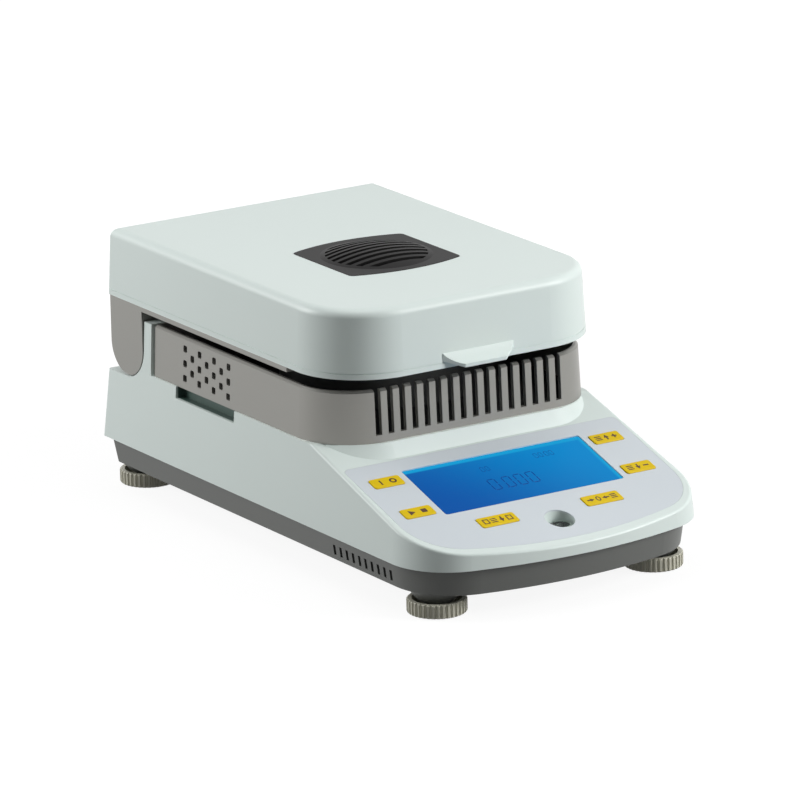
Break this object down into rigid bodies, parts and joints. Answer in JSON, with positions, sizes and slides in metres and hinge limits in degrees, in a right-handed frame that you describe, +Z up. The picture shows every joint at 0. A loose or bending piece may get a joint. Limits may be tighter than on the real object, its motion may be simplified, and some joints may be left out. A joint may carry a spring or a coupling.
{
  "type": "grain moisture meter",
  "caption": "Bench moisture meter: a sloping keypad and display in front of a low balance housing, with a hinged heating lid over a slotted round-cornered chamber.",
  "frame": {"origin": "middle of the footprint on the table, rear feet included", "axes": "+X is the meter's right, its front faces -Y, +Z is up"},
  "size_m": [0.206, 0.391, 0.1709],
  "materials": {
    "housing_pale": "fine spark texture, pale mint white",
    "tray_dark": "fine texture, dark grey",
    "collar_grey": "satin warm grey",
    "grille_black": "satin black",
    "overlay_film": "satin printed film, lavender grey",
    "display_blue": "smooth, blue backlight behind",
    "module_black": "plain",
    "key_yellow": "satin yellow",
    "level_cup": "smooth",
    "level_liquid": "clear tinted liquid",
    "clear_glass": "clear",
    "shield_black": "matt black heatproof paint",
    "bright_aluminium": "smooth",
    "bright_steel": "brushed",
    "zinc_screw": "zinc plated",
    "insert_brass": "turned",
    "board_green": "solder mask",
    "socket_black": "moulded, fine texture",
    "bush_white": "smooth",
    "ceramic_white": "unglazed ceramic",
    "pad_rubber": "matt",
    "knob_grey": "satin beige grey"
  },
  "bodies": {
    "base": {"upper_housing": "housing_pale", "lower_housing": "tray_dark", "housing_screws": "zinc_screw", "foot_inserts": "insert_brass", "panel_overlay": "overlay_film", "key_board": "board_green", "display_window": "display_blue", "display_module": "module_black", "level_cup": "level_cup", "level_liquid": "level_liquid", "level_glass": "clear_glass", "chamber_collar": "collar_grey", "heat_shield": "shield_black", "draft_ring": "bright_aluminium", "pan_support": "bright_steel", "load_cell": "bright_aluminium", "load_cell_base": "bright_aluminium", "load_cell_screws": "zinc_screw", "board_standoffs": "insert_brass", "main_board": "board_green", "power_board": "board_green", "mains_inlet": "socket_black", "inlet_pins": "insert_brass", "inlet_screws": "zinc_screw", "serial_port": "bright_steel", "serial_insert": "socket_black", "serial_posts": "zinc_screw", "hinge_pins": "bright_steel"},
    "lid": {"lid_cover": "housing_pale", "vent_grille": "grille_black", "lid_inner_pan": "collar_grey", "lid_screws": "zinc_screw", "reflector": "bright_aluminium", "halogen_lamp": "clear_glass", "lamp_sockets": "ceramic_white", "temperature_probe": "bright_steel", "protective_glass": "clear_glass", "glass_retainer": "bright_steel", "hinge_bushes": "bush_white"},
    "pan": {"sample_pan": "bright_aluminium"},
    "fuses": {"fuse_drawer": "socket_black"},
    "key_on_off_cap": {"key_on_off": "key_yellow"},
    "key_test_cap": {"key_test": "key_yellow"},
    "key_print_cap": {"key_print": "key_yellow"},
    "key_tare_cap": {"key_tare": "key_yellow"},
    "key_up_cap": {"key_up": "key_yellow"},
    "key_down_cap": {"key_down": "key_yellow"},
    "pad_front_left": {"foot_pad_front_left": "pad_rubber"},
    "knob_front_left": {"foot_knob_front_left": "knob_grey"},
    "pad_front_right": {"foot_pad_front_right": "pad_rubber"},
    "knob_front_right": {"foot_knob_front_right": "knob_grey"},
    "pad_rear_left": {"foot_pad_rear_left": "pad_rubber"},
    "knob_rear_left": {"foot_knob_rear_left": "knob_grey"},
    "pad_rear_right": {"foot_pad_rear_right": "pad_rubber"},
    "knob_rear_right": {"foot_knob_rear_right": "knob_grey"}
  },
  "joints": [
    {"name": "lid_hinge", "type": "hinge", "parent": "base", "child": "lid", "pos_m": [0, 0.1621, 0.0956], "axis": [-1, 0, 0], "range_deg": [0, 60]},
    {"name": "pan_lift", "type": "slide", "parent": "base", "child": "pan", "axis": [0, 0, 1], "range_m": [0, 0.012]},
    {"name": "fuse_pull", "type": "slide", "parent": "base", "child": "fuses", "axis": [0, 1, 0], "range_m": [0, 0.014]},
    {"name": "key_on_off_press", "type": "slide", "parent": "base", "child": "key_on_off_cap", "axis": [0, 0.2924, -0.9563], "range_m": [0, 0.0005], "stiffness_N_per_m": 2000, "springref_m": -0.0004},
    {"name": "key_test_press", "type": "slide", "parent": "base", "child": "key_test_cap", "axis": [0, 0.2924, -0.9563], "range_m": [0, 0.0005], "stiffness_N_per_m": 2000, "springref_m": -0.0004},
    {"name": "key_print_press", "type": "slide", "parent": "base", "child": "key_print_cap", "axis": [0, 0.2924, -0.9563], "range_m": [0, 0.0005], "stiffness_N_per_m": 2000, "springref_m": -0.0004},
    {"name": "key_tare_press", "type": "slide", "parent": "base", "child": "key_tare_cap", "axis": [0, 0.2924, -0.9563], "range_m": [0, 0.0005], "stiffness_N_per_m": 2000, "springref_m": -0.0004},
    {"name": "key_up_press", "type": "slide", "parent": "base", "child": "key_up_cap", "axis": [0, 0.2924, -0.9563], "range_m": [0, 0.0005], "stiffness_N_per_m": 2000, "springref_m": -0.0004},
    {"name": "key_down_press", "type": "slide", "parent": "base", "child": "key_down_cap", "axis": [0, 0.2924, -0.9563], "range_m": [0, 0.0005], "stiffness_N_per_m": 2000, "springref_m": -0.0004},
    {"name": "screw_out_front_left", "type": "slide", "parent": "base", "child": "pad_front_left", "axis": [0, 0, -1], "range_m": [0, 0.006]},
    {"name": "turn_front_left", "type": "hinge", "parent": "pad_front_left", "child": "knob_front_left", "pos_m": [-0.077, -0.154, 0.0063], "axis": [0, 0, -1], "range_deg": [0, 1728]},
    {"name": "screw_out_front_right", "type": "slide", "parent": "base", "child": "pad_front_right", "axis": [0, 0, -1], "range_m": [0, 0.006]},
    {"name": "turn_front_right", "type": "hinge", "parent": "pad_front_right", "child": "knob_front_right", "pos_m": [0.077, -0.154, 0.0063], "axis": [0, 0, -1], "range_deg": [0, 1728]},
    {"name": "screw_out_rear_left", "type": "slide", "parent": "base", "child": "pad_rear_left", "axis": [0, 0, -1], "range_m": [0, 0.006]},
    {"name": "turn_rear_left", "type": "hinge", "parent": "pad_rear_left", "child": "knob_rear_left", "pos_m": [-0.077, 0.1775, 0.0063], "axis": [0, 0, -1], "range_deg": [0, 1728]},
    {"name": "screw_out_rear_right", "type": "slide", "parent": "base", "child": "pad_rear_right", "axis": [0, 0, -1], "range_m": [0, 0.006]},
    {"name": "turn_rear_right", "type": "hinge", "parent": "pad_rear_right", "child": "knob_rear_right", "pos_m": [0.077, 0.1775, 0.0063], "axis": [0, 0, -1], "range_deg": [0, 1728]}
  ],
  "couplings": [
    {"joint": "screw_out_front_left", "follows": "turn_front_left", "m_per_rad": 0.00019894},
    {"joint": "screw_out_front_right", "follows": "turn_front_right", "m_per_rad": 0.00019894},
    {"joint": "screw_out_rear_left", "follows": "turn_rear_left", "m_per_rad": 0.00019894},
    {"joint": "screw_out_rear_right", "follows": "turn_rear_right", "m_per_rad": 0.00019894}
  ]
}
